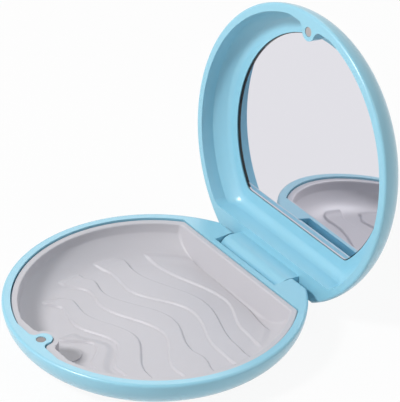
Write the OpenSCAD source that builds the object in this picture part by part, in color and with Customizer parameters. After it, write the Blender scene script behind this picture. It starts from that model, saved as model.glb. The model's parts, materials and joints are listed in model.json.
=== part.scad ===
// Round hinged case for dentures or aligners, shown with its lid open.
// The origin is the centre of the round outline, on the face that the case rests on.
// +Z is up, +Y points to the hinge and X runs along the hinge pin.

/* [Case] */
// Radius of the round outline of both halves
case_r = 45; // [44.8:0.1:45.6]
// Distance from the centre to the flat rear face
rear_y = 39.8; // [39.6:0.1:40]
// Height of each half
half_h = 12; // [11.9:0.1:12.3]
// Gap between the two rims when the lid is shut
shut_gap = 0.3; // [0.2:0.05:0.4]
// Radius of the side curve next to the rim
side_r = 10.7; // [10.4:0.1:11]
// Thickness of the lower shell
base_wall = 1.5; // [1.3:0.1:1.6]
// Thickness of the lid's side
lid_wall = 1.6; // [1.4:0.1:1.8]

/* [Tray] */
// Radius of the seat that the tray's flange drops into
seat_r = 42.4; // [42.2:0.1:42.6]
// Depth of the ledge that carries the flange
seat_depth = 2; // [1.8:0.1:2.2]
// Straight rear side of the tray's seat
seat_rear_y = 30.8; // [30.5:0.1:31]
// Straight front side of the tray's seat
seat_front_y = -41; // [-41.2:0.1:-40.8]
// Gap between the tray and the shell
tray_gap = 0.2; // [0.15:0.05:0.3]
// Depth of the tray's flange below the rim
flange_depth = 0.5; // [0.4:0.1:0.8]
// Radius of the tray's opening at its top
tray_top_r = 40.1; // [39.9:0.1:40.3]
// Radius of the tray's opening where the wall turns into the floor
tray_low_r = 39.4; // [39.2:0.1:39.6]
// Radius of the round between the tray's wall and floor
tray_round = 6; // [5:0.5:6.5]
// Height of the tray's floor above the table
tray_floor_z = 2.9; // [2.8:0.1:3.1]
// Height of the raised waves on the floor
wave_h = 0.5; // [0.3:0.1:0.8]

/* [Lid] */
// Radius of the lid's opening, which is upright next to the rim
lid_opening_r = 42.4; // [42.2:0.1:42.6]
// Depth of the ledge around the mirror, from the lid's rim
ledge_depth = 8.1; // [8:0.1:8.3]
// Straight inner side of the lid, next to the hinge
lid_inner_y = 31.3; // [31.1:0.1:31.5]
// Straight inner side of the lid at the front
lid_front_y = -41.3; // [-41.5:0.1:-41.1]
// Radius of the upright corners of the lid's dish
lid_corner_r = 4.5; // [3:0.5:5]
// Slope along the rear edge of the lid's rim
lid_edge = 1; // [0.8:0.1:1.2]

/* [Mirror] */
// Radius of the mirror
mirror_r = 35; // [34.6:0.1:35.2]
// Straight side of the mirror
mirror_y = 25.4; // [25:0.1:25.6]
// Radius of the mirror's two corners
mirror_corner_r = 3; // [2:0.5:3.5]
// Depth of the glass below the ledge around it
mirror_recess = 0.3; // [0.2:0.1:0.5]
// Thickness of the glass
glass_t = 1; // [0.8:0.1:1.1]
// Thickness of the foam tape
tape_t = 0.8; // [0.6:0.1:0.9]
// Gap around the glass
glass_gap = 0.1; // [0.05:0.05:0.2]

/* [Catch] */
// Radius of the two disc magnets
magnet_r = 1.5; // [1.3:0.1:1.6]
// Thickness of the two disc magnets
magnet_t = 2; // [1.5:0.1:2.5]
// Distance of the magnets in front of the centre
magnet_y = -39.7; // [-39.8:0.1:-39.5]
// Half the width of the tongue in the lower half
base_tongue_w = 2.6; // [2.4:0.1:2.7]
// Tip of the tongue in the lower half
base_tongue_y = -36.2; // [-36.3:0.1:-36]
// Half the width of the tongue in the lid
lid_tongue_w = 2.8; // [2.5:0.1:2.9]
// Tip of the tongue in the lid
lid_tongue_y = -36.9; // [-37:0.1:-36.7]

/* [Hinge] */
// Distance of the hinge pin behind the centre
hinge_y = 37.5; // [37.4:0.05:37.6]
// Height of the hinge pin above the table
hinge_z = 8.35; // [8.3:0.05:8.45]
// Radius of the hinge pin
pin_r = 0.75; // [0.6:0.05:0.8]
// Running clearance of the pin in the lid's barrel
pin_clearance = 0.05; // [0.03:0.01:0.08]
// Left end of the pin
pin_left_x = -19; // [-20:0.5:-18]
// Right end of the pin
pin_right_x = 20; // [18:0.5:21]
// Radius of the barrel around the pin
barrel_r = 2.6; // [2.4:0.1:2.7]
// Radius of the knuckle's round front
knuckle_r = 3.6; // [3.5:0.1:3.7]
// Half the length of the knuckle
knuckle_half = 14.6; // [14:0.1:14.7]
// Half the length of the notch for the knuckle
notch_half = 15; // [14.9:0.1:15.1]
// Gap around the knuckle in its notch
knuckle_gap = 0.45; // [0.35:0.05:0.5]
// Neck of the knuckle behind the pin, which lands on the notch's sill as a stop
neck_back = 1.35; // [1.2:0.05:1.38]
// Opening angle of the lid as drawn
open_angle = 98.7; // [0:0.1:99]

/* [Hidden] */
$fn = 96;
eps = 0.01;
far = 60;                                   // reach of a cutting shape past the case

shell_blue = [0.60, 0.78, 0.87];
silicone_grey = [0.79, 0.79, 0.83];
glass_silver = [0.86, 0.87, 0.89];
foam_white = [0.93, 0.93, 0.91];
steel_grey = [0.72, 0.73, 0.75];

// The side is two arcs that meet at 45 degrees: one next to the rim, one down to the flat face.
side_x = case_r - side_r;
foot_r = (half_h - sin(45) * side_r) / (1 - sin(45));
arc_shift = (foot_r - side_r) * sin(45);
foot_x = side_x - arc_shift;
rear_round = 1.5;                           // round along the rear edge of the deck

lid_rim_z = half_h + shut_gap;
shut_h = 2 * half_h + shut_gap;
ledge_w = 0.8;                              // width of the ledge under the flange
ledge_end = 0.3;                            // its width at the straight front and rear
cavity_r = seat_r - ledge_w;

flange_r = seat_r - tray_gap;
tray_wall_r = cavity_r - tray_gap;
tray_rear_y = seat_rear_y - tray_gap;
tray_front_y = seat_front_y + tray_gap;
tray_inner_rear_y = 29;
tray_inner_front_y = -38.5;
tray_rim_z = half_h - flange_depth;
tray_slot_w = base_tongue_w + 0.3;          // half width of the slot round the tongue
tray_slot_y = base_tongue_y + 0.2;
tray_bump_w = tray_slot_w + 1.6;            // half width of the wall round that slot
tray_bump_y = tray_slot_y + 1.6;
slot_flare = 1.4;                           // extra half width of the slot at the rim
step_r = 4;                                 // low half-round step behind that wall
step_y = -30.6;
step_h = 0.8;

corner_past = 0.4;                          // how far the dish's upright corners pass the wall
ledge_z = lid_rim_z + ledge_depth;
glass_z = ledge_z + mirror_recess;
tape_z = glass_z + glass_t;
pocket_z = tape_z + tape_t;
tape_inset = 1.2;
notch_r = knuckle_r + knuckle_gap;
sill_r = barrel_r + 0.3;
neck_root = 1.5;                            // how far the neck reaches into the lid's rim
knuckle_sweep = 10;                         // how far the round front reaches past straight down

// Crests and troughs of the front and rear edge of each raised wave on the tray's floor.
waves = [
    [[[-32, 15.8], [2.6, 22.8], [27.4, 17.2]],
     [[-32, 26.6], [27.4, 26.6]]],
    [[[-34.7, 0.5], [-28, 2.8], [-19.9, 2.3], [3.5, 11.2], [24.2, 6.2]],
     [[-34, 10.2], [-24, 9.5], [0, 17.3], [27, 11.8]]],
    [[[-31.1, -13.9], [-22.6, -8.1], [-14, -9.4], [5.8, -1.7], [23.5, -9]],
     [[-31, -3.5], [-19.9, -4.4], [2.6, 4.1], [20, -0.1]]],
    [[[-24.4, -22], [-19.9, -19], [-10.9, -21.1], [2.6, -15.9], [13.5, -22.7]],
     [[-24, -15.5], [-14, -14.9], [4.9, -9.1], [21.5, -16.6]]]
];
wave_step = 3;
wave_end_x = 36;
wave_r = 34;                                // the waves die out in the round at the wall

// Height of a wavy line at x: level at each crest and trough, with a cosine between them.
function ease(t) = (1 - cos(180 * t)) / 2;
function wave_at(line, x, i = 0) =
    x <= line[0][0] ? line[0][1] :
    i >= len(line) - 1 ? line[len(line) - 1][1] :
    x > line[i + 1][0] ? wave_at(line, x, i + 1) :
    line[i][1] + (line[i + 1][1] - line[i][1])
        * ease((x - line[i][0]) / (line[i + 1][0] - line[i][0]));

// Extrudes a drawing in Y and Z along the hinge.
module along_x(length) {
    rotate([90, 0, 90]) translate([0, 0, -length / 2]) linear_extrude(length) children();
}

// A round rod along the hinge line, from one x to another.
module rod(radius, from_x, to_x) {
    translate([from_x, hinge_y, hinge_z]) rotate([0, 90, 0])
        cylinder(r = radius, h = to_x - from_x);
}

// Half of the section through one half of the case, face down, taken in by inset.
module half_section(inset) {
    intersection() {
        translate([side_x, half_h]) circle(r = side_r - inset);
        polygon([[side_x, half_h], [side_x + far, half_h], [side_x + far, half_h - far]]);
    }
    intersection() {
        translate([foot_x, half_h + arc_shift]) circle(r = foot_r - inset);
        polygon([[foot_x, half_h], [side_x, half_h], [side_x + far, half_h - far],
                 [foot_x, half_h - far]]);
    }
    translate([0, inset]) square([foot_x, half_h - inset]);
}

// The same section with its rim carried on upwards, to cut a room that is open at the top.
module hollow_section(inset) {
    half_section(inset);
    translate([0, half_h]) square([case_r - inset, 1]);
}

// A round plate between two straight sides, drawn in plan.
module round_between(radius, front_y, back_y) {
    intersection() {
        circle(r = radius);
        translate([-far, front_y]) square([2 * far, back_y - front_y]);
    }
}

// A block as wide as the case between two straight sides, from one height to another.
module slab(front_y, back_y, low_z, high_z) {
    translate([-far, front_y, low_z]) cube([2 * far, back_y - front_y, high_z - low_z]);
}

// A tongue in plan: straight sides from the front, and a half-round tip.
module tongue(half_w, tip_y) {
    translate([0, tip_y - half_w]) circle(r = half_w);
    translate([-half_w, -far]) square([2 * half_w, far + tip_y - half_w]);
}

// What a round corner centred at x, y takes away, between straight back and straight outwards.
module corner_wedge(x, y) {
    polygon([[x, y], [x, far], [far, far], [far, far * y / x]]);
}

// The mirror's outline: a disc with one straight side and two round corners.
module mirror_outline(inset) {
    radius = mirror_r - inset;
    chord = mirror_y - inset;
    corner_y = chord - mirror_corner_r;
    corner_x = sqrt(pow(radius - mirror_corner_r, 2) - pow(corner_y, 2));
    difference() {
        round_between(radius, -far, chord);
        for (side = [-1, 1])
            mirror([side < 0 ? 1 : 0, 0]) corner_wedge(corner_x, corner_y);
    }
    for (side = [-1, 1]) translate([side * corner_x, corner_y]) circle(r = mirror_corner_r);
}

// Lower half

module base_body() {
    intersection() {
        rotate_extrude() half_section(0);
        along_x(2 * far) {
            translate([-far, -eps]) square([far + rear_y, half_h + eps - rear_round]);
            translate([-far, 0]) square([far + rear_y - rear_round, half_h]);
            translate([rear_y - rear_round, half_h - rear_round]) circle(r = rear_round);
        }
    }
}

module tray_room() {
    difference() {
        union() {
            translate([0, 0, half_h - seat_depth])
                linear_extrude(seat_depth + 1) round_between(seat_r, seat_front_y, seat_rear_y);
            intersection() {
                rotate_extrude() intersection() {
                    half_section(base_wall);
                    square([cavity_r, half_h]);
                }
                slab(seat_front_y + ledge_end, seat_rear_y - ledge_end, 0, half_h);
            }
        }
        linear_extrude(half_h) tongue(base_tongue_w, base_tongue_y);
    }
}

module knuckle_notch() {
    translate([0, hinge_y, hinge_z]) along_x(2 * notch_half) {
        circle(r = sill_r);
        intersection() {
            circle(r = notch_r);
            polygon([[0, 0], [0, far], [-far, far], [-far, -far],
                     [far * tan(knuckle_sweep + 2), -far]]);
        }
        translate([-notch_r, 0]) square([far, far]);
    }
}

module base_shell() {
    color(shell_blue) difference() {
        base_body();
        tray_room();
        knuckle_notch();
        rod(pin_r, pin_left_x, far);
        translate([0, magnet_y, half_h - magnet_t]) cylinder(r = magnet_r, h = magnet_t + 1);
    }
}

module tray_outside() {
    translate([0, 0, half_h - seat_depth]) linear_extrude(seat_depth - flange_depth)
        round_between(flange_r, tray_front_y, tray_rear_y);
    intersection() {
        rotate_extrude() intersection() {
            half_section(base_wall + tray_gap);
            square([tray_wall_r, tray_rim_z]);
        }
        slab(tray_front_y + ledge_end, tray_rear_y - ledge_end, 0, tray_rim_z);
    }
}

module tray_inside() {
    wall_z = tray_floor_z + tray_round;
    floor_r = tray_low_r - tray_round;
    difference() {
        intersection() {
            rotate_extrude() {
                translate([0, tray_floor_z]) square([floor_r, half_h]);
                intersection() {
                    translate([floor_r, wall_z]) circle(r = tray_round);
                    square([far, wall_z]);
                }
                polygon([[0, wall_z], [tray_low_r, wall_z], [tray_top_r, tray_rim_z],
                         [tray_top_r, half_h + 1], [0, half_h + 1]]);
            }
            slab(tray_inner_front_y, tray_inner_rear_y, 0, half_h + 1);
        }
        linear_extrude(half_h + 1) tongue(tray_bump_w, tray_bump_y);
        translate([0, step_y, 0]) cylinder(r = step_r, h = tray_floor_z + step_h);
    }
}

module floor_wave(front, back) {
    start_x = max(front[0][0], back[0][0]);
    xs = [for (x = [start_x : wave_step : wave_end_x]) x];
    points = concat([for (x = xs) [x, wave_at(front, x)]],
                    [for (i = [len(xs) - 1 : -1 : 0]) [xs[i], wave_at(back, xs[i])]]);
    translate([0, 0, tray_floor_z - wave_h]) linear_extrude(2 * wave_h) intersection() {
        polygon(points);
        circle(r = wave_r);
    }
}

module liner_tray() {
    color(silicone_grey) {
        difference() {
            tray_outside();
            tray_inside();
            linear_extrude(half_h) tongue(tray_slot_w, tray_slot_y);
            for (side = [-1, 1]) linear_extrude(half_h)
                polygon([[0, tray_front_y + slot_flare], [side * tray_slot_w, tray_front_y + slot_flare],
                         [side * (tray_slot_w + slot_flare), tray_front_y - eps], [0, tray_front_y - eps]]);
        }
        for (wave = waves) floor_wave(wave[0], wave[1]);
    }
}

module base_magnet() {
    color(steel_grey) translate([0, magnet_y, half_h - magnet_t])
        cylinder(r = magnet_r, h = magnet_t);
}

module hinge_pin() {
    color(steel_grey) rod(pin_r, pin_left_x, pin_right_x);
}

// Lid, drawn shut and then turned open about the hinge pin

module opened() {
    translate([0, hinge_y, hinge_z]) rotate([-open_angle, 0, 0])
        translate([0, -hinge_y, -hinge_z]) children();
}

module lid_body() {
    intersection() {
        translate([0, 0, shut_h]) mirror([0, 0, 1]) rotate_extrude() half_section(0);
        along_x(2 * far)
            polygon([[-far, lid_rim_z], [rear_y - lid_edge, lid_rim_z],
                     [rear_y, lid_rim_z + lid_edge], [rear_y, shut_h + 1], [-far, shut_h + 1]]);
    }
}

// The round upright corners of the dish reach past the side wall, so that they cross it.
module dish_corner() {
    corner_y = lid_inner_y - lid_corner_r;
    corner_reach = lid_opening_r - lid_corner_r + corner_past;
    corner_x = sqrt(pow(corner_reach, 2) - pow(corner_y, 2));
    linear_extrude(shut_h) difference() {
        corner_wedge(corner_x, corner_y);
        translate([corner_x, corner_y]) circle(r = lid_corner_r);
    }
}

module lid_dish() {
    difference() {
        intersection() {
            translate([0, 0, shut_h]) mirror([0, 0, 1]) rotate_extrude() hollow_section(lid_wall);
            slab(lid_front_y, lid_inner_y, lid_rim_z - 1, ledge_z);
            cylinder(r = lid_opening_r, h = shut_h);
        }
        dish_corner();
        mirror([1, 0, 0]) dish_corner();
        linear_extrude(shut_h) tongue(lid_tongue_w, lid_tongue_y);
    }
}

module knuckle() {
    translate([0, hinge_y, hinge_z]) along_x(2 * knuckle_half) {
        circle(r = barrel_r);
        intersection() {
            circle(r = knuckle_r);
            polygon([[0, 0], [-far, 0], [-far, -far], [far * tan(knuckle_sweep), -far]]);
        }
        translate([-knuckle_r, 0])
            square([knuckle_r + neck_back, lid_rim_z + neck_root - hinge_z]);
    }
}

module lid_shell() {
    color(shell_blue) opened() difference() {
        union() {
            difference() {
                lid_body();
                lid_dish();
            }
            knuckle();
        }
        rod(pin_r + pin_clearance, -far, far);
        translate([0, 0, ledge_z - eps]) linear_extrude(pocket_z - ledge_z + eps)
            mirror_outline(-glass_gap);
        translate([0, magnet_y, lid_rim_z - 1]) cylinder(r = magnet_r, h = magnet_t + 1);
    }
}

module mirror_glass() {
    color(glass_silver) opened() translate([0, 0, glass_z])
        linear_extrude(glass_t) mirror_outline(0);
}

module mirror_tape() {
    color(foam_white) opened() translate([0, 0, tape_z])
        linear_extrude(tape_t) mirror_outline(tape_inset);
}

module lid_magnet() {
    color(steel_grey) opened() translate([0, magnet_y, lid_rim_z])
        cylinder(r = magnet_r, h = magnet_t);
}

base_shell();
liner_tray();
base_magnet();
hinge_pin();
lid_shell();
mirror_glass();  // mirror
mirror_tape();
lid_magnet();
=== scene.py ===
"""Looks of the round hinged case with its soft tray and mirror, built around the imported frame."""

import json
import logging
import math
from contextlib import contextmanager
from dataclasses import dataclass, field
from enum import Enum
from typing import Callable, Iterator, Sequence

import bmesh
import bpy
from mathutils import Matrix, Vector


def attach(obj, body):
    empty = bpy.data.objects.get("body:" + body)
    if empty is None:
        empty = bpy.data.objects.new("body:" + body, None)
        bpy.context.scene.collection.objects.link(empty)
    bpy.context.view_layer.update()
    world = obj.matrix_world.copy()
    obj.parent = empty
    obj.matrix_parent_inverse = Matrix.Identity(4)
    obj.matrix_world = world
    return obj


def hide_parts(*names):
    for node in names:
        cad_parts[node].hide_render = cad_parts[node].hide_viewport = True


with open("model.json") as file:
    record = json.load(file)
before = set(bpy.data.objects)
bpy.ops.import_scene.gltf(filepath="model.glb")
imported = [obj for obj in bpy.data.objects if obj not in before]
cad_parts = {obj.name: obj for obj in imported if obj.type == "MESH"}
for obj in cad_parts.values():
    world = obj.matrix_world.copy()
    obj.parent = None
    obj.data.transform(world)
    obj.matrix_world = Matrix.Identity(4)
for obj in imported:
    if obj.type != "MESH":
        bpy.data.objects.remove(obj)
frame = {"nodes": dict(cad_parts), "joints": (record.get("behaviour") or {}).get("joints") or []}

log = logging.getLogger("case")

MM = 0.001
FAR = 60 * MM
HAIR = 1e-7
Point2 = tuple[float, float]
Point3 = tuple[float, float, float]
Colour = tuple[float, float, float, float]
EdgeTest = Callable[[Vector, Vector], bool]
Solid = bpy.types.Object


class Cut(Enum):
    """How a second solid acts on the first."""

    ADD = "UNION"
    TAKE = "DIFFERENCE"
    KEEP = "INTERSECT"


# ---- modelling by hand


def activate(obj: Solid) -> None:
    """Makes one object the only selected and the active one.

    Args:
        obj: The object to work on.
    """
    bpy.ops.object.select_all(action="DESELECT")
    obj.select_set(True)
    bpy.context.view_layer.objects.active = obj


@contextmanager
def editing(obj: Solid) -> Iterator[None]:
    """Holds an object in edit mode.

    Args:
        obj: The object to edit.

    Yields:
        Nothing, while the object is in edit mode.
    """
    activate(obj)
    bpy.ops.object.mode_set(mode="EDIT")
    try:
        yield
    finally:
        bpy.ops.object.mode_set(mode="OBJECT")


def select_edges(obj: Solid, test: EdgeTest) -> int:
    """Selects edges of the mesh in edit mode by their place.

    Args:
        obj: The object in edit mode.
        test: Says yes for an edge, from its two end points.

    Returns:
        How many edges were picked.
    """
    bpy.ops.mesh.select_mode(type="EDGE")
    mesh = bmesh.from_edit_mesh(obj.data)
    for part in (*mesh.verts, *mesh.edges, *mesh.faces):
        part.select = False
    picked = [edge for edge in mesh.edges if test(edge.verts[0].co, edge.verts[1].co)]
    for edge in picked:
        edge.select = True
    mesh.select_flush_mode()
    bmesh.update_edit_mesh(obj.data)
    return len(picked)


def ring_object(name: str, ring: Sequence[Point3], filled: bool) -> Solid:
    """Adds a closed ring of points as a new object.

    Args:
        name: The object's name.
        ring: The points, in order.
        filled: Whether one face fills the ring.

    Returns:
        The new object.
    """
    fill = "NGON" if filled else "NOTHING"
    bpy.ops.object.select_all(action="DESELECT")
    bpy.ops.mesh.primitive_circle_add(vertices=len(ring), radius=1, fill_type=fill)
    obj = bpy.context.active_object
    obj.name = name
    for vert, point in zip(obj.data.vertices, ring):
        vert.co = point
    return obj


def tidy_mesh(obj: Solid, distance: float = 0.002 * MM) -> None:
    """Merges doubled points and turns all faces outwards.

    Args:
        obj: The object whose mesh is tidied.
        distance: Points nearer than this become one.
    """
    with editing(obj):
        bpy.ops.mesh.select_all(action="SELECT")
        bpy.ops.mesh.remove_doubles(threshold=distance)
        bpy.ops.mesh.dissolve_degenerate(threshold=distance)
        bpy.ops.mesh.normals_make_consistent(inside=False)


def spun(name: str, outline: Sequence[Point2], steps: int) -> Solid:
    """Spins an open outline, which starts and ends on the upright axis, into a closed solid.

    Args:
        name: The object's name.
        outline: Pairs of radius and height.
        steps: How many flats the round has.

    Returns:
        The solid.
    """
    obj = ring_object(name, [(r, 0.0, z) for r, z in outline], filled=False)
    with editing(obj):
        select_edges(obj, lambda a, b: a.x < HAIR and b.x < HAIR)
        bpy.ops.mesh.delete(type="EDGE")
        bpy.ops.mesh.select_all(action="SELECT")
        bpy.ops.mesh.spin(steps=steps, angle=math.tau, center=(0, 0, 0), axis=(0, 0, 1))
    tidy_mesh(obj)
    return obj


def prism(name: str, outline: Sequence[Point3], along: Point3) -> Solid:
    """Extrudes a flat outline into a closed solid.

    Args:
        name: The object's name.
        outline: The points of one end.
        along: From one end to the other.

    Returns:
        The solid.
    """
    obj = ring_object(name, outline, filled=True)
    with editing(obj):
        bpy.ops.mesh.select_all(action="SELECT")
        bpy.ops.mesh.extrude_region_move(TRANSFORM_OT_translate={"value": along})
    tidy_mesh(obj)
    return obj


def at_height(outline: Sequence[Point2], height: float) -> list[Point3]:
    """Lifts a plan outline to a height."""
    return [(x, y, height) for x, y in outline]


def upright(name: str, plan: Sequence[Point2], low: float, height: float) -> Solid:
    """A prism that stands on a plan outline at a height; it hangs where its own height is negative."""
    return prism(name, at_height(plan, low), (0, 0, height))


def across(name: str, side: Sequence[Point2], half: float) -> Solid:
    """A prism along the hinge's direction, from its outline seen from the side and half its length."""
    return prism(name, [(-half, y, z) for y, z in side], (2 * half, 0, 0))


def lofted(name: str, rings: Sequence[Sequence[Point3]]) -> Solid:
    """Extrudes a ring step by step through further rings of equal count into a closed solid.

    Args:
        name: The object's name.
        rings: The rings, from one end to the other.

    Returns:
        The solid.
    """
    obj = ring_object(name, rings[0], filled=True)
    with editing(obj):
        bpy.ops.mesh.select_mode(type="FACE")
        bpy.ops.mesh.select_all(action="SELECT")
        for ring, following in zip(rings, rings[1:]):
            bpy.ops.mesh.extrude_region_move()
            moves = {tuple(Vector(old)): new for old, new in zip(ring, following)}
            mesh = bmesh.from_edit_mesh(obj.data)
            for vert in mesh.verts:
                if vert.select:
                    vert.co = moves[tuple(vert.co)]
            bmesh.update_edit_mesh(obj.data)
    tidy_mesh(obj)
    return obj


def sliced(obj: Solid, point: Point3, normal: Point3) -> None:
    """Cuts away the side that the normal points to and closes the cut.

    Args:
        obj: The solid to cut.
        point: A point of the cutting plane.
        normal: The plane's normal.
    """
    with editing(obj):
        bpy.ops.mesh.select_all(action="SELECT")
        bpy.ops.mesh.bisect(plane_co=point, plane_no=normal, use_fill=True, clear_outer=True,
                            threshold=HAIR)


def cut(target: Solid, tool: Solid, how: Cut) -> None:
    """Applies a second solid to the first and removes it.

    Args:
        target: The solid that is kept.
        tool: The solid that acts on it.
        how: Whether it is added, taken away or kept in common.
    """
    step = target.modifiers.new("cut", "BOOLEAN")
    step.operation = how.value
    step.solver = "MANIFOLD"
    step.object = tool
    activate(target)
    bpy.ops.object.modifier_apply(modifier=step.name)
    bpy.data.objects.remove(tool)


def soften(obj: Solid, width: float, segments: int, test: EdgeTest) -> None:
    """Rounds the edges that a test picks by their place.

    Args:
        obj: The solid.
        width: How far the round reaches from the edge.
        segments: How many flats the round has.
        test: Says yes for an edge, from its two ends.
    """
    with editing(obj):
        if select_edges(obj, test):
            bpy.ops.mesh.bevel(offset=width, segments=segments, profile=0.5,
                               affect="EDGES", clamp_overlap=True)


def break_edges(obj: Solid, width: float, segments: int = 2, angle: float = 40) -> None:
    """Takes the sharpness off every hard edge, as a mould does.

    Args:
        obj: The solid.
        width: How far each round reaches from its edge.
        segments: How many flats each round has.
        angle: The least angle of a hard edge, in degrees.
    """
    merged, level = 0.03 * MM, 0.05
    with editing(obj):
        bpy.ops.mesh.select_all(action="SELECT")
        bpy.ops.mesh.remove_doubles(threshold=merged)
        bpy.ops.mesh.dissolve_limited(angle_limit=math.radians(level))
    step = obj.modifiers.new("edges", "BEVEL")
    step.width = width
    step.segments = segments
    step.limit_method = "ANGLE"
    step.angle_limit = math.radians(angle)
    step.use_clamp_overlap = True
    activate(obj)
    bpy.ops.object.modifier_apply(modifier=step.name)


def shade(obj: Solid, angle: float = 35) -> None:
    """Shades smooth up to an angle, with large flats kept flat.

    Args:
        obj: The finished solid.
        angle: The greatest angle that is shaded smooth, in degrees.
    """
    activate(obj)
    bpy.ops.object.shade_smooth_by_angle(angle=math.radians(angle))
    step = obj.modifiers.new("flats", "WEIGHTED_NORMAL")
    step.mode = "FACE_AREA"
    step.weight = 100
    step.keep_sharp = True
    bpy.ops.object.modifier_apply(modifier=step.name)


def arc(x: float, y: float, radius: float, start: float, end: float, steps: int) -> list[Point2]:
    """Points of an arc about a centre at x and y, both ends included, with its angles in degrees."""
    turns = [math.radians(start + (end - start) * i / steps) for i in range(steps + 1)]
    return [(x + radius * math.cos(t), y + radius * math.sin(t)) for t in turns]


def circle(x: float, y: float, radius: float, steps: int) -> list[Point2]:
    """Points of a full circle, each once."""
    return arc(x, y, radius, 0, 360, steps)[:-1]


def flat_sided_round(radius: float, chord: float, corner: float,
                     counts: tuple[int, int, int] = (40, 10, 190)) -> list[Point2]:
    """Plan outline of a disc with one straight rear side and two round corners.

    Args:
        radius: The disc's radius.
        chord: The straight side's distance behind the centre.
        corner: The radius of its two corners.
        counts: Flats along the straight side, each corner and the round.

    Returns:
        The points, from the straight side's middle round to the left.
    """
    along, bend, around = counts
    corner_y = chord - corner
    corner_x = math.sqrt(max((radius - corner) ** 2 - corner_y ** 2, 1e-12))
    lean = math.degrees(math.atan2(corner_y, corner_x))
    left = arc(-corner_x, corner_y, corner, 90, 180 - lean, bend)
    body = arc(0, 0, radius, 180 - lean, 360 + lean, around)[1:-1]
    right = arc(corner_x, corner_y, corner, lean, 90, bend)
    side = [(corner_x - 2 * corner_x * i / along, chord) for i in range(1, along)]
    return left + body + right + side


def bell(half: float, tip: float, root: float, root_y: float) -> list[Point2]:
    """Plan outline of a tongue with a half-round tip and hollow roots, open to the front.

    Args:
        half: Half the tongue's width.
        tip: How far back its tip lies.
        root: The radius of its two hollow roots.
        root_y: Where the roots run out.

    Returns:
        The points, from the front right round to the front left.
    """
    right = arc(half + root, root_y + root, root, 270, 180, 8)
    left = arc(-half - root, root_y + root, root, 0, -90, 8)
    return [(half + root, -FAR), *right, *arc(0, tip - half, half, 0, 180, 24), *left,
            (-half - root, -FAR)]


# ---- shared sizes


@dataclass(frozen=True)
class CaseForm:
    """The form that both halves of the case share, in metres."""

    radius: float = 45 * MM
    rear_y: float = 39.8 * MM
    half_h: float = 12 * MM
    shut_gap: float = 0.3 * MM
    side_r: float = 10.7 * MM
    rim_round: float = 0.8 * MM
    flats: int = 256
    arc_steps: int = 14

    @property
    def foot_r(self) -> float:
        """Radius of the lower side curve, which meets the upper one at 45 degrees."""
        half_turn = math.sin(math.radians(45))
        return (self.half_h - half_turn * self.side_r) / (1 - half_turn)

    @property
    def side_x(self) -> float:
        """Where the upper side curve has its centre."""
        return self.radius - self.side_r

    @property
    def shift(self) -> float:
        """How far the lower side curve's centre lies inwards and up from the upper one's."""
        return (self.foot_r - self.side_r) * math.sin(math.radians(45))

    @property
    def shut_h(self) -> float:
        """Height of the shut case."""
        return 2 * self.half_h + self.shut_gap

    def side(self, inset: float, stop_r: float = 1.0) -> list[Point2]:
        """The side of one half, face down, from its flat face up to its rim.

        Args:
            inset: How far the line lies inside the outer side.
            stop_r: The line is held at this radius where it would pass it.

        Returns:
            Pairs of radius and height.
        """
        foot = arc(self.side_x - self.shift, self.half_h + self.shift, self.foot_r - inset, -90, -45,
                   self.arc_steps)
        rise = arc(self.side_x, self.half_h, self.side_r - inset, -45, 0, self.arc_steps)
        return [(min(r, stop_r), z) for r, z in foot + rise[1:]]

    def outer(self) -> list[Point2]:
        """The closed outline of one solid half with a round along its rim.

        Returns:
            Pairs of radius and height.
        """
        edge = self.rim_round
        side = [p for p in self.side(0) if p[1] < self.half_h - edge * 1.05]
        reach = self.side_x + math.sqrt(self.side_r ** 2 - edge ** 2) - edge
        rim = arc(reach, self.half_h - edge, edge, 0, 90, 5)
        return [(0, 0), *side, *rim, (0, self.half_h)]


FORM = CaseForm()


def disc(name: str, y: float, rim_z: float, inwards: int) -> Solid:
    """A disc magnet with broken edges, a little below the rim that it is pressed into.

    Args:
        name: The object's name.
        y: The disc's distance behind the centre.
        rim_z: The height of the rim.
        inwards: 1 where the rim's material lies above it, -1 where it lies below.

    Returns:
        The disc.
    """
    radius, thick, sunk, broken = 1.46 * MM, 1.8 * MM, 0.12 * MM, 0.15 * MM
    obj = upright(name, circle(0, y, radius, 48), rim_z + inwards * sunk, inwards * thick)
    break_edges(obj, broken)
    shade(obj)
    return obj


# ---- lower half


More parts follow.
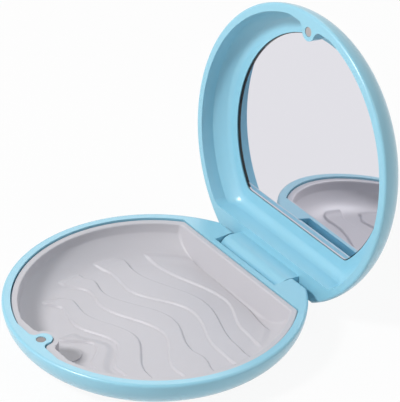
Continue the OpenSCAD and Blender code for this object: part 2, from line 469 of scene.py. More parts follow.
@dataclass
class LowerHalf:
    """The lower shell: a round bowl with a deck and a hinge notch at its rear."""

    form: CaseForm = FORM
    wall: float = 1.5 * MM
    seat_r: float = 42.4 * MM
    seat_depth: float = 2 * MM
    seat_rear_y: float = 30.8 * MM
    seat_front_y: float = -41 * MM
    seat_corner: float = 0.4 * MM
    ledge_w: float = 0.8 * MM
    ledge_end: float = 0.3 * MM
    deck_round: float = 1.5 * MM
    tongue_w: float = 2.6 * MM
    tongue_y: float = -36.2 * MM
    tongue_root: float = 2 * MM
    magnet_r: float = 1.5 * MM
    magnet_t: float = 2 * MM
    magnet_y: float = -39.7 * MM
    notch_half: float = 15 * MM
    notch_r: float = 5.05 * MM
    sill_r: float = 2.9 * MM
    sill_angle: float = 282
    pin_r: float = 0.75 * MM
    pin_end: float = 19 * MM
    broken: float = 0.28 * MM

    def room(self) -> Solid:
        """The room for the tray: a shallow seat over a deeper bowl, without the tongue.

        Returns:
            The solid that the room takes away.
        """
        rim = self.form.half_h
        seat_z = rim - self.seat_depth
        plan = flat_sided_round(self.seat_r, self.seat_rear_y, self.seat_corner)
        seat = upright("seat", plan, seat_z, self.seat_depth + MM)
        sliced(seat, (0, self.seat_front_y, 0), (0, -1, 0))
        bowl_r = self.seat_r - self.ledge_w
        side = [p for p in self.form.side(self.wall, bowl_r) if p[1] < rim - 0.1 * MM]
        bowl = spun("bowl", [(0, self.wall), *side, (bowl_r, rim - MM), (0, rim - MM)], self.form.flats)
        sliced(bowl, (0, self.seat_rear_y - self.ledge_end, 0), (0, 1, 0))
        sliced(bowl, (0, self.seat_front_y + self.ledge_end, 0), (0, -1, 0))
        cut(seat, bowl, Cut.ADD)
        tongue = bell(self.tongue_w, self.tongue_y, self.tongue_root, self.seat_front_y)
        cut(seat, upright("tongue", tongue, -MM, 2 * rim), Cut.TAKE)
        return seat

    def notch(self, hinge: Vector) -> Solid:
        """The notch that the lid's knuckle turns in.

        Args:
            hinge: A point on the pin's axis.

        Returns:
            The solid that the notch takes away.
        """
        front = arc(hinge.y, hinge.z, self.notch_r, 180, self.sill_angle, 24)
        sill = arc(hinge.y, hinge.z, self.sill_r, self.sill_angle + 2, 360, 16)
        plan = [(hinge.y - self.notch_r, FAR), *front, *sill, (FAR, hinge.z), (FAR, FAR)]
        return across("notch", plan, self.notch_half)

    def build(self, hinge: Vector) -> Solid:
        """Builds the shell.

        Args:
            hinge: A point on the pin's axis.

        Returns:
            The finished mesh.
        """
        form, rim = self.form, self.form.half_h
        shell = spun("base_shell_body", form.outer(), form.flats)
        corner = arc(form.rear_y - self.deck_round, rim - self.deck_round, self.deck_round, 90, 0, 8)
        side = [(-FAR, rim + MM), (corner[0][0], rim + MM), *corner, (form.rear_y, -MM), (-FAR, -MM)]
        cut(shell, across("keep", side, FAR), Cut.KEEP)
        cut(shell, self.room(), Cut.TAKE)
        cut(shell, self.notch(hinge), Cut.TAKE)
        pocket = circle(0, self.magnet_y, self.magnet_r, 48)
        cut(shell, upright("pocket", pocket, rim - self.magnet_t, 2 * self.magnet_t), Cut.TAKE)
        bore = [(-self.pin_end, y, z) for y, z in circle(hinge.y, hinge.z, self.pin_r, 32)]
        cut(shell, prism("bore", bore, (self.pin_end + FAR, 0, 0)), Cut.TAKE)
        break_edges(shell, self.broken, segments=3)
        shade(shell)
        return shell

    def magnet(self) -> Solid:
        """Builds the lower magnet."""
        return disc("base_magnet_disc", self.magnet_y, self.form.half_h, -1)


# ---- tray


def eased(share: float) -> float:
    """A smooth step from 0 to 1."""
    share = min(max(share, 0), 1)
    return share * share * (3 - 2 * share)


@dataclass(frozen=True)
class WavyLine:
    """A wavy line over the floor, level at each crest and trough."""

    points: tuple[Point2, ...]

    def at(self, x: float) -> tuple[float, float]:
        """The line at x, in millimetres.

        Args:
            x: Where along the hinge's direction.

        Returns:
            The line's y and its slope.
        """
        first, last = self.points[0], self.points[-1]
        if x <= first[0] or x >= last[0]:
            return (first if x <= first[0] else last)[1], 0.0
        for (x0, y0), (x1, y1) in zip(self.points, self.points[1:]):
            if x <= x1:
                turn = math.pi * (x - x0) / (x1 - x0)
                rise = (y1 - y0) / 2
                return y0 + rise * (1 - math.cos(turn)), rise * math.sin(turn) * math.pi / (x1 - x0)
        return last[1], 0.0


@dataclass(frozen=True)
class Wave:
    """One raised band on the tray's floor, between two wavy lines, in millimetres.

    It starts over a taper, rises and falls over two slopes, and has a slight bead along its front.
    """

    front: WavyLine
    back: WavyLine
    taper: float = 2.2
    fall: float = 0.7
    rise: float = 0.7
    bead_h: float = 0.08
    bead_w: float = 0.3

    def height(self, x: float, y: float) -> float:
        """How far the band is raised at a place.

        Args:
            x: Where along the hinge's direction.
            y: Where behind the centre.

        Returns:
            The share of the full height.
        """
        start = self.front.points[0][0]
        share = eased((x - start) / self.taper)
        if share == 0:
            return 0.0
        front_y, front_slope = self.front.at(x)
        back_y, back_slope = self.back.at(x)
        into = (y - front_y) / math.hypot(1, front_slope)
        left = (back_y - y) / math.hypot(1, back_slope)
        bead = self.bead_h * math.exp(-(((into - self.bead_w) / self.bead_w) ** 2))
        return share * (eased(into / self.rise + 0.5) * eased(left / self.fall + 0.5) + bead)


WAVES = (
    Wave(WavyLine(((-33, 16.6), (-25, 17.0), (3, 23.4), (19.5, 18.6), (29, 17.6))),
         WavyLine(((-33, 28.5), (-5, 27.2), (8, 26.7), (24, 24.6), (32, 22.5)))),
    Wave(WavyLine(((-36, 0.8), (-27, 3.15), (-18.5, 2.55), (2.8, 11.8), (22, 6.8), (31, 6.5))),
         WavyLine(((-35.5, 7), (-30.3, 10.35), (-25.4, 9.9), (0.8, 17.85), (23, 12.8), (31, 12)))),
    Wave(WavyLine(((-33, -13.6), (-23, -7.8), (-15.8, -9), (6.5, -1.6), (24, -9.35), (27, -9.1))),
         WavyLine(((-31.5, -5.3), (-27.2, -3.15), (-21.2, -4.3), (2.4, 5.05), (18.5, 0.5),
                   (23.5, 1.3), (30.5, -0.3)))),
    Wave(WavyLine(((-26.5, -23.6), (-20.3, -19.1), (-11.8, -20.85), (3, -15.8), (13.8, -23.1),
                   (18, -22.8))),
         WavyLine(((-26, -17), (-22, -14.2), (-15.4, -15), (3, -9.1), (21, -16.9), (24, -17)))),
    Wave(WavyLine(((-9, -29.5), (0.6, -21.4), (9.5, -28.2), (14, -29))),
         WavyLine(((-13, -25.5), (-7, -23.4), (3, -18.6), (14, -25.6))), 3.0, 3.0),
)


@dataclass
class Tray:
    """The soft grey tray in the lower half, with waves on its floor."""

    form: CaseForm = FORM
    lower: LowerHalf = field(default_factory=LowerHalf)
    gap: float = 0.2 * MM
    rim_z: float = 11.5 * MM
    flange_z: float = 10 * MM
    rear_y: float = 30.6 * MM
    front_y: float = -40.8 * MM
    top_r: float = 40.1 * MM
    bowl_r: float = 39.8 * MM
    bowl_z: float = 8.8 * MM
    bowl_round: float = 12 * MM
    rear_round: float = 1 * MM
    rear_lean: float = 0.2
    corner_r: float = 2.2 * MM
    floor_z: float = 2.9 * MM
    inner_rear_y: float = 29 * MM
    inner_front_y: float = -38.5 * MM
    bump_wall: float = 1.6 * MM
    bump_root: float = 1.5 * MM
    slot_side: float = 0.3 * MM
    slot_tip: float = 0.2 * MM
    slot_root: float = 2.2 * MM
    lip: float = 0.5 * MM
    step_r: float = 4 * MM
    step_y: float = -30.6 * MM
    step_h: float = 0.45 * MM
    step_groove: float = 0.7 * MM
    groove_depth: float = 0.45 * MM
    groove_share: float = 0.8
    cell: float = 0.25 * MM
    wave_h: float = 0.6 * MM
    wave_reach: float = 35 * MM
    wave_fade: float = 2.5 * MM
    wave_lap: float = 0.6 * MM
    sunk: float = 0.012 * MM
    block_t: float = 0.8 * MM
    broken: float = 0.3 * MM

    def outside(self) -> Solid:
        """The solid tray before it is hollowed.

        Returns:
            The solid.
        """
        flange_r = self.lower.seat_r - self.gap
        wall_r = self.lower.seat_r - self.lower.ledge_w - self.gap
        inset = self.lower.wall + self.gap
        side = [p for p in self.form.side(inset, wall_r) if p[1] < self.flange_z]
        lip = arc(flange_r - self.lip, self.rim_z - self.lip, self.lip, 0, 90, 5)
        outline = [(0, inset), *side, (wall_r, self.flange_z), (flange_r, self.flange_z), *lip,
                   (0, self.rim_z)]
        solid = spun("liner_tray_body", outline, self.form.flats)
        sliced(solid, (0, self.rear_y, 0), (0, 1, 0))
        sliced(solid, (0, self.front_y, 0), (0, -1, 0))
        return solid

    def rear(self, height: float) -> float:
        """How far back the room's rear wall lies; it leans back and has a hollow foot.

        Args:
            height: The height.

        Returns:
            The wall's distance behind the centre.
        """
        share = min((height - self.floor_z) / self.rear_round, 1)
        foot = self.rear_round * (1 - math.sqrt(1 - (1 - share) ** 2))
        return self.inner_rear_y - (self.rim_z - height) * self.rear_lean - foot

    @property
    def bowl_lean(self) -> float:
        """The angle that the bowl's side has turned through where it meets the upright lip."""
        return math.acos(1 - (self.bowl_z - self.floor_z) / self.bowl_round)

    @property
    def floor_r(self) -> float:
        """Where the flat floor ends and the bowl's side begins."""
        return self.bowl_r - self.bowl_round * math.sin(self.bowl_lean)

    def floor_height(self, radius: float) -> float:
        """Height of the floor or the bowl's side at a radius."""
        past = max(radius - self.floor_r, 0)
        return self.floor_z + self.bowl_round - math.sqrt(self.bowl_round ** 2 - past ** 2)

    def inside(self) -> Solid:
        """The room in the tray: an upright lip round a wide bowl, with a steep rear wall.

        Returns:
            The solid that the room takes away.
        """
        levels = []
        steps = 18
        for i in range(steps + 1):
            turn = self.bowl_lean * i / steps
            radius = self.floor_r + self.bowl_round * math.sin(turn)
            height = self.floor_height(radius)
            levels.append((radius, self.rear(height), height))
        for angle in (0, 22, 45, 67, 90):
            out = self.lip * (1 - math.cos(math.radians(angle)))
            height = self.rim_z - self.lip * (1 - math.sin(math.radians(angle)))
            levels.append((self.top_r + out, self.rear(height) + out, height))
        radius, chord, height = levels[-1]
        levels.append((radius, chord, height + MM))
        rings = [at_height(flat_sided_round(r, y, self.corner_r), z) for r, y, z in levels]
        room = lofted("tray_room", rings)
        sliced(room, (0, self.inner_front_y, 0), (0, -1, 0))
        return room

    def waves(self) -> Solid:
        """The raised bands of the floor as one thin solid, sunk a hair below the floor between them.

        Returns:
            The solid that is added to the tray.
        """
        wide, deep, middle_y = 72 * MM, 62 * MM, -1.2 * MM
        bpy.ops.object.select_all(action="DESELECT")
        bpy.ops.mesh.primitive_grid_add(x_subdivisions=round(wide / self.cell),
                                        y_subdivisions=round(deep / self.cell), size=1)
        block = bpy.context.active_object
        block.name = "wave_block"
        for vert in block.data.vertices:
            x, y = vert.co.x * wide, vert.co.y * deep + middle_y
            reach = min(math.hypot(x, y), self.wave_reach)
            raised = max(wave.height(x / MM, y / MM) for wave in WAVES)
            raised *= eased((self.wave_reach - reach) / self.wave_fade)
            low = self.floor_height(reach) - self.sunk
            vert.co = (x, y, low + (self.wave_h + self.sunk) * raised)
        with editing(block):
            bpy.ops.mesh.select_all(action="SELECT")
            bpy.ops.mesh.extrude_region_move(TRANSFORM_OT_translate={"value": (0, 0, -self.block_t)})
            bpy.ops.mesh.select_all(action="SELECT")
            bpy.ops.mesh.normals_make_consistent(inside=False)
        plan = flat_sided_round(self.wave_reach, self.rear(self.floor_z) + self.wave_lap, self.corner_r)
        cut(block, upright("wave_plan", plan, 0, self.rim_z), Cut.KEEP)
        return block

    def build(self) -> Solid:
        """Builds the tray: hollow, with a slot for the tongue, a round step and the waves.

        Returns:
            The finished mesh.
        """
        tray = self.outside()
        room = self.inside()
        half = self.lower.tongue_w + self.slot_side
        tip = self.lower.tongue_y + self.slot_tip
        bump = bell(half + self.bump_wall, tip + self.bump_wall, self.bump_root, self.inner_front_y)
        cut(room, upright("bump", bump, 0, FAR), Cut.TAKE)
        ring = circle(0, self.step_y, self.step_r + self.step_groove, 64)
        groove = upright("groove", ring, self.floor_z - self.groove_depth, 2 * self.groove_depth)
        sliced(groove, (0, self.step_y - self.groove_share * self.step_r, 0), (0, -1, 0))
        cut(room, groove, Cut.ADD)
        step = circle(0, self.step_y, self.step_r, 64)
        cut(room, upright("step", step, 0, self.floor_z + self.step_h), Cut.TAKE)
        cut(tray, room, Cut.TAKE)
        slot = bell(half, tip, self.slot_root, self.front_y)
        cut(tray, upright("slot", slot, 0, FAR), Cut.TAKE)
        break_edges(tray, self.broken, segments=3, angle=50)
        cut(tray, self.waves(), Cut.ADD)
        shade(tray, angle=60)
        return tray


# ---- upper half


@dataclass
class Lid:
    """The upper shell, drawn shut and turned open about the pin."""

    form: CaseForm = FORM
    wall: float = 1.6 * MM
    ledge_depth: float = 8.1 * MM
    inner_y: float = 31.3 * MM
    front_y: float = -41.3 * MM
    corner_r: float = 4.5 * MM
    opening_r: float = 42.4 * MM
    side_foot: float = 5 * MM
    rear_foot: float = 3 * MM
    edge: float = 1 * MM
    neck_root: float = 1.5 * MM
    tongue_w: float = 2.8 * MM
    tongue_y: float = -36.9 * MM
    tongue_root: float = 2.5 * MM
    magnet_r: float = 1.5 * MM
    magnet_t: float = 2 * MM
    magnet_y: float = -39.7 * MM
    mirror_r: float = 35 * MM
    mirror_y: float = 25.4 * MM
    mirror_corner: float = 3 * MM
    recess: float = 0.3 * MM
    glass_t: float = 1 * MM
    tape_t: float = 0.8 * MM
    glass_gap: float = 0.1 * MM
    silver_depth: float = 0.32 * MM
    bevel_w: float = 1.6 * MM
    bevel_z: float = 0.2 * MM
    glass_edge: float = 0.27 * MM
    glass_shift: Point2 = (0.13 * MM, -0.2 * MM)
    chord_edge: float = 0.12 * MM
    knuckle_half: float = 14.6 * MM
    knuckle_r: float = 3.6 * MM
    knuckle_round: float = 0.8 * MM
    barrel_r: float = 2.6 * MM
    barrel_angle: float = 280
    neck_back: float = 1.35 * MM
    neck_angle: float = 58.7
    pin_hole_r: float = 0.8 * MM
    broken: float = 0.28 * MM
    open_angle: float = 98.7

    @property
    def rim_z(self) -> float:
        """Height of the lid's rim when it is shut."""
        return self.form.half_h + self.form.shut_gap

    @property
    def ledge_z(self) -> float:
        """Height of the ledge round the mirror when the lid is shut."""
        return self.rim_z + self.ledge_depth

    @property
    def glass_z(self) -> float:
        """Height of the mirror's face when the lid is shut."""
        return self.ledge_z + self.recess

    def opened(self, obj: Solid, hinge: Vector) -> Solid:
        """Turns a piece that was drawn shut to the lid's open place.

        Args:
            obj: The piece.
            hinge: A point on the pin's axis.

        Returns:
            The same piece.
        """
        turn = (Matrix.Translation(hinge) @ Matrix.Rotation(math.radians(-self.open_angle), 4, "X")
                @ Matrix.Translation(-hinge))
        obj.data.transform(turn)
        return obj

    def flipped(self, outline: Sequence[Point2]) -> list[Point2]:
        """Turns an outline of the lower half into the lid's."""
        return [(r, self.form.shut_h - z) for r, z in outline]

    def dish_level(self, depth: float) -> list[Point2]:
        """Plan outline of the dish at a depth below the rim.

        Args:
            depth: The depth.

        Returns:
            The outline's points.
        """
        form = self.form
        ledge = self.ledge_depth
        foot = form.foot_r - self.wall
        centre_x, centre_h = form.side_x - form.shift, form.shift

        def wall_r(deep: float) -> float:
            """The radius of the wall's inner side.

            Args:
                deep: How far below the rim.

            Returns:
                The radius.
            """
            if deep < (form.side_r - self.wall) * math.sin(math.radians(45)):
                return form.side_x + math.sqrt((form.side_r - self.wall) ** 2 - deep ** 2)
            return centre_x + math.sqrt(foot ** 2 - (centre_h + deep) ** 2)

        slope = math.acos((centre_h + ledge) / foot)
        start = wall_r(ledge) - self.side_foot * math.tan(slope / 2)
        rise = ledge - depth
        top = self.side_foot * (1 - math.cos(slope))
        if rise < top:
            radius = start + math.sqrt(self.side_foot ** 2 - (self.side_foot - rise) ** 2)
        else:
            radius = wall_r(depth)
        share = min(rise / self.rear_foot, 1)
        chord = self.inner_y - self.rear_foot * (1 - math.sqrt(1 - (1 - share) ** 2))
        return flat_sided_round(min(radius, self.opening_r), chord, self.corner_r)

    def dish(self) -> Solid:
        """The hollow of the lid down to the ledge round the mirror, without the tongue.

        Returns:
            The solid that the hollow takes away.
        """
        crease = math.sqrt((self.form.side_r - self.wall) ** 2 - (self.opening_r - self.form.side_x) ** 2)
        steps, levels = 12, 4
        turns = [math.radians(90 * i / steps) for i in range(steps + 1)]
        foot = [self.ledge_depth - self.rear_foot * (1 - math.cos(turn)) for turn in turns]
        side = [crease + (foot[-1] - crease) * i / levels for i in range(levels)]
        depths = [-MM, *side, *reversed(foot)]
        rings = [at_height(self.dish_level(max(d, 0)), self.rim_z + d) for d in depths]
        dish = lofted("dish", rings)
        sliced(dish, (0, self.front_y, 0), (0, -1, 0))
        plan = bell(self.tongue_w, self.tongue_y, self.tongue_root, self.front_y)
        cut(dish, upright("lid_tongue", plan, 0, FAR), Cut.TAKE)
        return dish

    def knuckle(self, hinge: Vector) -> Solid:
        """The barrel round the pin with its neck, which carries the lid.

        Args:
            hinge: A point on the pin's axis.

        Returns:
            The solid.
        """
        top = self.rim_z + self.neck_root
        front = arc(hinge.y, hinge.z, self.knuckle_r, 180, self.barrel_angle, 28)
        back = arc(hinge.y, hinge.z, self.barrel_r, self.barrel_angle + 1, 360 + self.neck_angle, 26)
        plan = [(hinge.y - self.knuckle_r, top), *front, *back, (hinge.y + self.neck_back, top)]
        knuckle = across("knuckle", plan, self.knuckle_half)
        end_x, top_z, back_y = self.knuckle_half - 0.01 * MM, hinge.z + 0.5 * MM, hinge.y + MM

        def at_end(point: Vector) -> bool:
            """Says whether a point lies on the lower front of one of the barrel's ends."""
            return abs(point.x) > end_x and point.z < top_z and point.y < back_y

        soften(knuckle, self.knuckle_round, 5, lambda a, b: at_end(a) and at_end(b) and a.x * b.x > 0)
        return knuckle

    def build(self, hinge: Vector) -> Solid:
        """Builds the lid's shell in its open place.

        Args:
            hinge: A point on the pin's axis.

        Returns:
            The finished mesh.
        """
        form = self.form
        shell = spun("lid_shell_body", self.flipped(form.outer()), form.flats)
        past = self.rim_z - MM
        side = [(-FAR, past), (form.rear_y - self.edge - MM, past),
                (form.rear_y, self.rim_z + self.edge), (form.rear_y, FAR), (-FAR, FAR)]
        cut(shell, across("keep", side, FAR), Cut.KEEP)
        cut(shell, self.dish(), Cut.TAKE)
        cut(shell, self.knuckle(hinge), Cut.ADD)
        pocket = flat_sided_round(self.mirror_r + self.glass_gap, self.mirror_y + self.glass_gap,
                                  self.mirror_corner)
        low, depth = self.ledge_z - 0.01 * MM, self.recess + self.glass_t + self.tape_t
        cut(shell, upright("mirror_pocket", pocket, low, depth), Cut.TAKE)
        hole = circle(0, self.magnet_y, self.magnet_r, 48)
        cut(shell, upright("magnet_hole", hole, self.rim_z - MM, self.magnet_t + MM), Cut.TAKE)
        bore = circle(hinge.y, hinge.z, self.pin_hole_r, 32)
        cut(shell, across("pin_hole", bore, FAR), Cut.TAKE)
        break_edges(shell, self.broken, segments=3)
        self.opened(shell, hinge)
        shade(shell)
        return shell

    def mirror(self, hinge: Vector) -> Solid:
        """Builds the mirror in its open place: a silvered plane with a bevelled strip, in a black edge
        that is painted shade round the glass.

        Args:
            hinge: A point on the pin's axis.

        Returns:
            The finished mesh, whose edge faces have the second material, the black painted shade.
        """
        plan = flat_sided_round(self.mirror_r, self.mirror_y, self.mirror_corner)
        glass = upright("mirror_plate", plan, self.glass_z, self.glass_t)
        # The hollow leaves a black rim round the silver, which is painted shade. It is shifted off
        # centre, so the rim is wider on the left.
        edge_y = self.mirror_y - self.chord_edge
        shift_x, shift_y = self.glass_shift
        plan = flat_sided_round(self.mirror_r - self.glass_edge, edge_y - shift_y,
                                self.mirror_corner - self.glass_edge)
        inner = [(x + shift_x, y + shift_y) for x, y in plan]
        low, lap, facing = self.glass_z - MM, 0.1 * MM, -0.8
        cut(glass, upright("mirror_hollow", inner, low, MM + self.silver_depth), Cut.TAKE)
        silver_z = self.glass_z + self.silver_depth
        start_y, end_y, under_z = edge_y - self.bevel_w, edge_y + lap, silver_z + lap
        slope = [(start_y, self.glass_z + self.bevel_z), (end_y, silver_z), (end_y, under_z),
                 (start_y, under_z)]
        strip = across("bevel", slope, FAR)
        cut(strip, upright("bevel_plan", inner, low, FAR), Cut.KEEP)
        cut(glass, strip, Cut.ADD)
        # Every face but the silvered face takes the black painted shade.
        for face in glass.data.polygons:
            inside = self.glass_z + self.bevel_z / 2 < face.center.z < silver_z + 0.01 * MM
            silvered = face.normal.z < facing or face.normal.y < facing
            face.material_index = 0 if inside and silvered else 1
        self.opened(glass, hinge)
        shade(glass, angle=2)
        return glass

    def magnet(self, hinge: Vector) -> Solid:
        """Builds the lid's magnet in its open place."""
        return self.opened(disc("lid_magnet_disc", self.magnet_y, self.rim_z, 1), hinge)


# ---- finishes


class Socket:
    """A number in a material's nodes that takes part in ordinary sums."""

    def __init__(self, book: "NodeBook", output: bpy.types.NodeSocket | None) -> None:
        """Wraps one output of a book's nodes."""
        self.book = book
        self.output = output

    def _sum(self, operation: str, first: "Socket | float", second: "Socket | float") -> "Socket":
        """Adds one Math node."""
        return self.book.add("ShaderNodeMath", {"operation": operation}, {0: first, 1: second})

    def __add__(self, other: "Socket | float") -> "Socket":
        """This plus other."""
        return self._sum("ADD", self, other)

    __radd__ = __add__

    def __sub__(self, other: "Socket | float") -> "Socket":
        """This minus other."""
        return self._sum("SUBTRACT", self, other)

    def __rsub__(self, other: "Socket | float") -> "Socket":
        """Other minus this."""
        return self._sum("SUBTRACT", other, self)

    def __mul__(self, other: "Socket | float") -> "Socket":
        """This times other."""
        return self._sum("MULTIPLY", self, other)

    __rmul__ = __mul__


class NodeBook:
    """The nodes of one material or of the world."""

    def __init__(self, owner: bpy.types.Material | bpy.types.World) -> None:
        """Empties the nodes of a material or of the world.

        Args:
            owner: What the nodes belong to.
        """
        self.owner = owner
        owner.use_nodes = True
        self.tree = owner.node_tree
        self.tree.nodes.clear()

    def add(self, kind: str, settings: dict, values: dict, out: int | str = 0) -> Socket:
        """Adds one node.

        Args:
            kind: The node's type.
            settings: Its settings, by name.
            values: What its inputs hold or are linked to, by name or number.
            out: Which output is handed back.

        Returns:
            The output.
        """
        node = self.tree.nodes.new(kind)
        for key, value in settings.items():
            setattr(node, key, value)
        for key, value in values.items():
            if isinstance(value, Socket):
                self.tree.links.new(value.output, node.inputs[key])
            else:
                node.inputs[key].default_value = value
        return Socket(self, node.outputs[out] if node.outputs else None)

    def finish(self, surface: Socket, kind: str = "ShaderNodeOutputMaterial") -> None:
        """Sends a shader to the output of the material or of the world."""
        self.add(kind, {}, {"Surface": surface})


WHITE: Colour = (1, 1, 1, 1)


def srgb(red: float, green: float, blue: float) -> Colour:
    """Turns a colour of the screen into Blender's linear colour.

    Args:
        red: The red value, from 0 to 255.
        green: The green value.
        blue: The blue value.

    Returns:
        The linear colour, with full cover.
    """
    channels = [c / 255 for c in (red, green, blue)]
    linear = [c / 12.92 if c <= 0.04045 else ((c + 0.055) / 1.055) ** 2.4 for c in channels]
    return (*linear, 1.0)


@dataclass(frozen=True)
class Moulded:
    """A moulded plastic or silicone: an even colour, a fine grain and a soft gloss."""

    name: str
    light: Colour
    dark: Colour
    roughness: float
    grain: float
    bump: float
    scatter: float = 0.0
    ior: float = 1.5
    coat: float = 0.0
    coat_roughness: float = 0.22
    cloud: float = 55.0
    swing: float = 0.08
    dent: float = 0.02 * MM
    depth: float = 1 * MM

    def material(self) -> bpy.types.Material:
        """Makes the material.

        Returns:
            The material.
        """
        book = NodeBook(bpy.data.materials.new(self.name))
        place = book.add("ShaderNodeTexCoord", {}, {}, "Object")
        cloud = book.add("ShaderNodeTexNoise", {}, {"Vector": place, "Scale": self.cloud, "Detail": 3.0})
        fine = book.add("ShaderNodeTexNoise", {}, {"Vector": place, "Scale": self.grain, "Detail": 2.0})
        ends = {"Factor": cloud, 6: self.dark, 7: self.light}
        colour = book.add("ShaderNodeMix", {"data_type": "RGBA"}, ends, 2)
        rough = cloud * self.swing + (self.roughness - self.swing / 2)
        dents = {"Height": fine, "Strength": self.bump, "Distance": self.dent}
        bump = book.add("ShaderNodeBump", {}, dents)
        surface = book.add("ShaderNodeBsdfPrincipled", {}, {
            "Base Color": colour, "Roughness": rough, "Normal": bump, "IOR": self.ior,
            "Coat Weight": self.coat, "Coat Roughness": self.coat_roughness,
            "Subsurface Weight": self.scatter, "Subsurface Radius": (0.6, 0.8, 1.0),
            "Subsurface Scale": self.depth})
        book.finish(surface)
        return book.owner


@dataclass(frozen=True)
class Metal:
    """A bright metal or a silvered glass."""

    name: str
    colour: Colour
    roughness: float
    haze: float
    cloud: float = 300.0

    def material(self) -> bpy.types.Material:
        """Makes the material.

        Returns:
            The material.
        """
        book = NodeBook(bpy.data.materials.new(self.name))
        place = book.add("ShaderNodeTexCoord", {}, {}, "Object")
        cloud = book.add("ShaderNodeTexNoise", {}, {"Vector": place, "Scale": self.cloud, "Detail": 4.0})
        rough = cloud * self.haze + self.roughness
        surface = book.add("ShaderNodeBsdfPrincipled", {}, {
            "Base Color": self.colour, "Metallic": 1.0, "Roughness": rough})
        book.finish(surface)
        return book.owner


SHELL = Moulded("shell_plastic", srgb(143, 199, 219), srgb(138, 196, 216), 0.38, 2600, 0.1, 0.1, 1.5, 0.6)
SILICONE = Moulded("tray_silicone", srgb(194, 192, 197), srgb(190, 188, 193), 0.45, 3200, 0.15, 0.05)
# Black for the mirror's edge and back faces: painted shade round the glass.
PAINTED_SHADE_EDGE = Moulded("mirror_edge_painted_shade", srgb(14, 15, 18), srgb(11, 12, 14), 0.1, 2600, 0.02)
SILVER = Metal("mirror_silver", srgb(226, 225, 231), 0.02, 0.01)
NICKEL = Metal("magnet_nickel", srgb(120, 116, 116), 0.3, 0.1)
# The lid's magnet is the same nickel as the lower one, made lighter: painted light.
NICKEL_PAINTED_LIGHT = Metal("lid_magnet_nickel", srgb(184, 179, 179), 0.25, 0.15)
STEEL = Metal("pin_steel", srgb(190, 192, 196), 0.3, 0.1)
FOAM = Moulded("tape_foam", srgb(238, 238, 234), srgb(232, 232, 228), 0.8, 4000, 0.3)


# ---- stage


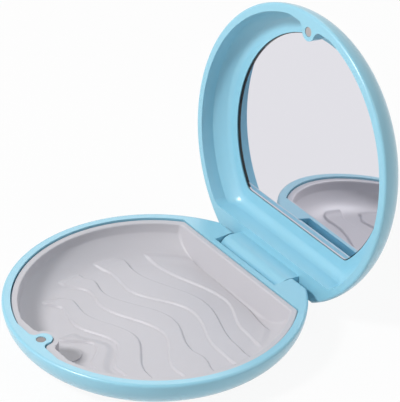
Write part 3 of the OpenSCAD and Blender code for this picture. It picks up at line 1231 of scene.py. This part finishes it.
@dataclass
class Studio:
    """Camera, floor and plain light, where each entry of the lamps is what lamp() takes."""

    azimuth: float = 54.09
    elevation: float = 32.398
    roll: float = 1.097
    stand: Point3 = (596.99 * MM, -416.65 * MM, 507.13 * MM)
    focal_px: float = 3000
    frame_px: tuple[int, int] = (400, 402)
    sensor_mm: float = 36
    clip_end: float = 10
    aim: Point3 = (0, 10 * MM, 30 * MM)
    floor_size: float = 6
    floor_z: float = -0.02 * MM
    floor_glow: float = 0.92
    floor_matt: Colour = (0.8, 0.8, 0.8, 1)
    ambient: float = 0.33
    lamp_distance: float = 1.1
    lamps: tuple[tuple[str, float, float, float, float], ...] = (
        ("key", -10, 46, 8.8, 0.2), ("front_fill", -25, 16, 1.2, 0.5), ("back_right", 130, 42, 1.7, 0.5),
        ("back_left", 228, 42, 1.4, 0.5))

    def camera(self) -> None:
        """Puts the camera where the photograph was taken from."""
        data = bpy.data.cameras.new("camera")
        data.sensor_width = self.sensor_mm
        data.lens = self.focal_px / max(self.frame_px) * data.sensor_width
        data.clip_end = self.clip_end
        camera = bpy.data.objects.new("camera", data)
        bpy.context.scene.collection.objects.link(camera)
        turn, rise, roll = (math.radians(a) for a in (self.azimuth, self.elevation, self.roll))
        back = Vector((math.sin(turn) * math.cos(rise), -math.cos(turn) * math.cos(rise), math.sin(rise)))
        right = Vector((math.cos(turn), math.sin(turn), 0))
        above = back.cross(right)
        tilted = math.cos(roll) * right + math.sin(roll) * above
        upright = math.cos(roll) * above - math.sin(roll) * right
        axes = Matrix((tilted, upright, back)).transposed().to_4x4()
        camera.matrix_world = Matrix.Translation(self.stand) @ axes
        bpy.context.scene.camera = camera

    @staticmethod
    def seen(book: NodeBook) -> Socket:
        """One where the camera, a mirror or a clear piece looks, zero for the light on matt pieces.

        Args:
            book: The nodes that it is added to.

        Returns:
            The number.
        """
        ways = [book.add("ShaderNodeLightPath", {}, {}, way)
                for way in ("Is Camera Ray", "Is Glossy Ray", "Is Transmission Ray")]
        return ways[0] + ways[1] + ways[2]

    def floor(self) -> None:
        """A wide pale floor that takes the object's shadow."""
        bpy.ops.object.select_all(action="DESELECT")
        bpy.ops.mesh.primitive_plane_add(size=self.floor_size, location=(0, 0, self.floor_z))
        plane = bpy.context.active_object
        plane.name = "floor"
        book = NodeBook(bpy.data.materials.new("floor_white"))
        seen = self.seen(book)
        matt = book.add("ShaderNodeBsdfDiffuse", {}, {"Color": self.floor_matt})
        glow = book.add("ShaderNodeEmission", {}, {"Color": WHITE, "Strength": 1.0})
        both = book.add("ShaderNodeMixShader", {}, {0: seen * self.floor_glow, 1: matt, 2: glow})
        book.finish(both)
        plane.data.materials.append(book.owner)

    def lamp(self, name: str, turn: float, rise: float, power: float, size: float) -> None:
        """A soft square lamp that faces the case.

        Args:
            name: The lamp's name.
            turn: Its direction from the front, towards the right, in degrees.
            rise: Its direction above the floor, in degrees.
            power: Its power in watts.
            size: Its width in metres.
        """
        data = bpy.data.lights.new(name, "AREA")
        data.shape = "SQUARE"
        data.size = size
        data.energy = power
        lamp = bpy.data.objects.new(name, data)
        bpy.context.scene.collection.objects.link(lamp)
        around, up = math.radians(turn), math.radians(rise)
        place = self.lamp_distance * Vector(
            (math.sin(around) * math.cos(up), -math.cos(around) * math.cos(up), math.sin(up)))
        aim = Vector(self.aim) - place
        lamp.matrix_world = Matrix.Translation(place) @ aim.to_track_quat("-Z", "Y").to_matrix().to_4x4()

    def light(self) -> None:
        """An even white surround and the square lamps."""
        world = bpy.data.worlds.new("surround")
        bpy.context.scene.world = world
        book = NodeBook(world)
        seen = self.seen(book)
        shown = book.add("ShaderNodeBackground", {}, {"Color": WHITE, "Strength": 1.0})
        shed = book.add("ShaderNodeBackground", {}, {"Color": WHITE, "Strength": self.ambient})
        both = book.add("ShaderNodeMixShader", {}, {0: seen, 1: shed, 2: shown})
        book.finish(both, "ShaderNodeOutputWorld")
        for lamp in self.lamps:
            self.lamp(*lamp)

    def set_up(self) -> None:
        """Makes camera, floor and light."""
        self.camera()
        self.floor()
        self.light()


# ---- the whole case


def dress(obj: Solid, finishes: Sequence[Moulded | Metal], body: str, node: str) -> None:
    """Gives a piece its finishes and says what it stands for.

    Args:
        obj: The piece.
        finishes: Its finishes, in the order of its material slots.
        body: The moving body that it rides on.
        node: The solid that it replaces.
    """
    # Emptying the slots sets the number of each face's slot to 0, so a piece of two finishes keeps them.
    places = [face.material_index for face in obj.data.polygons]
    obj.data.materials.clear()
    for finish in finishes:
        obj.data.materials.append(finish.material())
    if len(finishes) > 1:
        obj.data.polygons.foreach_set("material_index", places)
    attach(obj, body)
    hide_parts(node)
    log.info("%s: %d faces", obj.name, len(obj.data.polygons))


def main() -> None:
    """Builds the case and its stage, in order."""
    logging.basicConfig(level=logging.INFO, format="%(message)s")
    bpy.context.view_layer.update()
    scene = bpy.context.scene
    scene.view_settings.view_transform = "Standard"
    Studio().set_up()
    hinge = Vector(frame["joints"][0]["pos_m"])
    lower, tray, lid = LowerHalf(), Tray(), Lid()
    dress(lower.build(hinge), [SHELL], "base", "base_shell")
    dress(tray.build(), [SILICONE], "base", "liner_tray")
    dress(lower.magnet(), [NICKEL], "base", "base_magnet")
    dress(lid.build(hinge), [SHELL], "lid", "lid_shell")
    # The mirror's edge faces take the black painted shade.
    dress(lid.mirror(hinge), [SILVER, PAINTED_SHADE_EDGE], "lid", "mirror")
    # The lid's magnet takes a lightened copy of the nickel, which is painted light.
    dress(lid.magnet(hinge), [NICKEL_PAINTED_LIGHT], "lid", "lid_magnet")
    for node, finish in {"hinge_pin": STEEL, "mirror_tape": FOAM}.items():
        solid = frame["nodes"][node]
        solid.data.materials.clear()
        solid.data.materials.append(finish.material())
        log.info("%s: kept solid", node)


if __name__ == "__main__":
    main()
